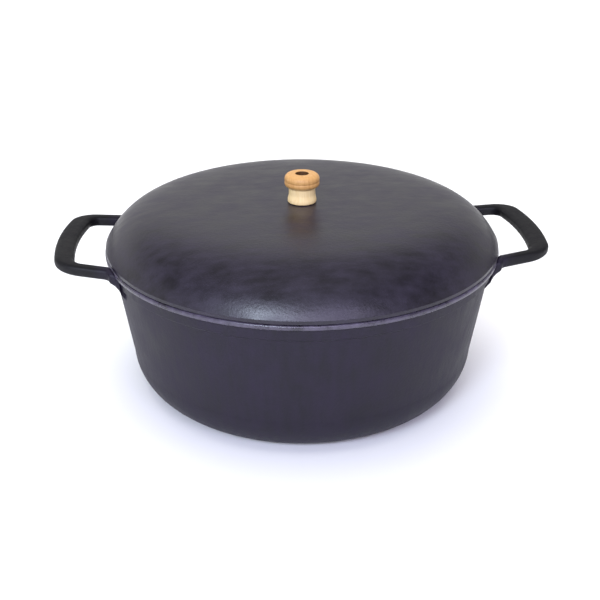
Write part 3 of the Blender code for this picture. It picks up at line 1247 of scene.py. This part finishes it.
@dataclass(frozen=True)
class SoftBox:
    """A rectangular studio light with an even face."""

    name: str
    azimuth: float
    elevation: float
    distance: float
    width: float
    height: float
    power: float
    colour: str = "#FFFFFF"

    def hang(self, target: Vector) -> bpy.types.Object:
        """Places the light on a circle round a target and turns it to face it.

        Args:
            target: Point that the light faces.

        Returns:
            The light's object.
        """
        data = bpy.data.lights.new(self.name, "AREA")
        data.shape = "RECTANGLE"
        data.size, data.size_y = self.width, self.height
        data.energy = self.power
        data.color = linear(self.colour)[:3]
        lamp = bpy.data.objects.new(self.name, data)
        bpy.context.scene.collection.objects.link(lamp)
        azimuth, elevation = math.radians(self.azimuth), math.radians(self.elevation)
        flat = math.cos(elevation)
        way = Vector((math.sin(azimuth) * flat, math.cos(azimuth) * flat, math.sin(elevation)))
        lamp.location = target + way * self.distance
        lamp.rotation_euler = (-way).to_track_quat("-Z", "Y").to_euler()
        return lamp


@dataclass
class Studio:
    """Pale floor, soft lights and the camera."""

    target: Vector
    distance: float = 0.825
    elevation: float = 0.432
    turn: float = 0.0757
    lens: float = 52.33
    shift: tuple[float, float] = (-0.0034, -0.0335)
    floor_half: float = 7.0
    floor_colour: str = "#F4F4F4"
    sky: tuple[tuple[float, float], ...] = (
        (0.0, 0.8),
        (0.34, 1.0),
        (0.52, 0.42),
        (0.75, 0.42),
        (1.0, 0.7),
    )
    sky_strength: float = 1.0
    right_dim: float = 0.55
    right_dim_from: float = 0.1
    far_middle: float = 3.0

    def lay_floor(self) -> None:
        """Pale painted board under the pot."""
        half = self.floor_half
        mesh = bpy.data.meshes.new("floor")
        corners = [(-half, -half, 0), (half, -half, 0), (half, half, 0), (-half, half, 0)]
        mesh.from_pydata(corners, [], [(0, 1, 2, 3)])
        floor = place_object("floor", mesh)
        sheet = NodeSheet("painted_board_matt")
        coordinates = sheet.add("TexCoord").outputs["Object"]
        speckle = sheet.add("TexNoise", values={"Vector": coordinates, "Scale": 60.0, "Detail": 2.0})
        rough = sheet.add("MapRange", values={"Value": speckle.outputs["Fac"], "To Min": 0.7, "To Max": 0.8})
        shader = sheet.add(
            "BsdfPrincipled",
            values={"Base Color": linear(self.floor_colour), "Roughness": rough.outputs[0]},
        )
        mesh.materials.append(sheet.finish(shader))

    def light(self) -> None:
        """Pale surroundings, dimmer to the right, with a key, a fill and two panels overhead."""
        world = bpy.data.worlds.new("surroundings")
        bpy.context.scene.world = world
        sheet = NodeSheet(world.name, world)
        direction = sheet.add("TexCoord").outputs["Generated"]
        split = sheet.add("SeparateXYZ", values={0: direction})
        dim = sheet.add(
            "MapRange",
            values={
                "Value": split.outputs["X"],
                "From Min": self.right_dim_from,
                "To Min": 1.0,
                "To Max": self.right_dim,
            },
        )
        sky = sheet.add("ValToRGB", values={"Fac": split.outputs["Z"]}, stops=self.sky)
        dimmed = sheet.add(
            "VectorMath",
            {"operation": "SCALE"},
            {0: sky.outputs[0], "Scale": dim.outputs["Result"]},
        )
        background = sheet.add(
            "Background",
            values={"Color": dimmed.outputs["Vector"], "Strength": self.sky_strength},
        )
        sheet.add("OutputWorld", values={"Surface": background.outputs[0]})
        SoftBox("key_front_left", -154, 33, 1.5, 0.40, 0.32, 12.0, "#DCE9FF").hang(self.target)
        SoftBox("fill_front", 174, 33, 1.6, 1.20, 0.30, 13.0, "#D5CFF5").hang(self.target)
        overhead = SoftBox("overhead", 0, 88, 1.8, 2.2, 2.2, 26.0).hang(self.target)
        far = Vector((0.0, self.far_middle, 0.0))
        overhead_far = SoftBox("overhead_far", 0, 88, 2.0, 5.0, 3.4, 80.0).hang(far)
        # The overhead panels light the board and the wood, and black nets keep them off the iron's shine.
        overhead.visible_glossy = False
        overhead_far.visible_glossy = False

    def set_camera(self) -> None:
        """Camera a little above the rim, turned slightly to the left of square."""
        data = bpy.data.cameras.new("camera")
        data.lens = self.lens
        data.sensor_width = 36.0
        data.shift_x, data.shift_y = self.shift
        camera = bpy.data.objects.new("camera", data)
        bpy.context.scene.collection.objects.link(camera)
        flat = math.cos(self.elevation)
        back = Vector((-flat * math.sin(self.turn), -flat * math.cos(self.turn), math.sin(self.elevation)))
        camera.location = self.target + back * self.distance
        camera.rotation_euler = (-back).to_track_quat("-Z", "Y").to_euler()
        bpy.context.scene.camera = camera


# ---------------------------------------------------------------- assembly
def put_on(piece: bpy.types.Object, body: Body, slot: Slot, *nodes: str) -> None:
    """Ties a finished piece to the frame.

    Args:
        piece: The piece, in place.
        body: Body that carries it.
        slot: Not used.
        nodes: CAD nodes that it stands for.
    """
    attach(piece, body.value)
    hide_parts(*nodes)
    LOG.info("%s: %d faces, rides on %s", piece.name, len(piece.data.polygons), body.value)


def main() -> None:
    """Builds the classes in order, from the pot up, and then the studio."""
    logging.basicConfig(level=logging.INFO, format="%(name)s %(message)s")
    pot_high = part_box("pot")[1]
    lid_low, lid_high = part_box("lid")
    knob_low, knob_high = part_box("knob")
    seat = lid_low.z + LOCATING_RING_DEPTH
    pot = PotCasting(rim_radius=pot_high.y, rim_height=seat - CONTACT_GAP, reach=pot_high.x)
    put_on(pot.build(), Body.POT, Slot.IRON, "pot")
    ring_outer = pot.wall_top - pot.wall - LOCATING_RING_CLEARANCE
    lid = DomedLid(seat, lid_high.x, lid_high.z, lid_low.z, ring_outer)
    put_on(lid.build(), Body.LID, Slot.IRON, "lid")
    knob = TurnedKnob(knob_low.z, knob_high.z - knob_low.z, knob_high.x)
    put_on(knob.build(), Body.LID, Slot.WOOD, "knob")
    fixing = KnobFixing()
    screw_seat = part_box("bolt_head_washer")[1].z + CONTACT_GAP
    put_on(fixing.screw(screw_seat, SCREW_RADIUS), Body.LID, Slot.STEEL, "knob_bolt")
    for name, node in (("bored_hole_washer", "bolt_head_washer"), ("under_lid_washer", "lid_washer")):
        put_on(fixing.washer(name, node, HOLE_RADIUS), Body.LID, Slot.STEEL, node)
    put_on(fixing.nut(NUT_ACROSS_FLATS, HOLE_RADIUS), Body.LID, Slot.STEEL, "knob_nut")
    studio = Studio(target=Vector((0.0, 0.0, VIEW_HEIGHT)))
    studio.lay_floor()
    studio.light()
    studio.set_camera()
    bpy.context.scene.view_settings.view_transform = "Standard"


if __name__ == "__main__":
    main()
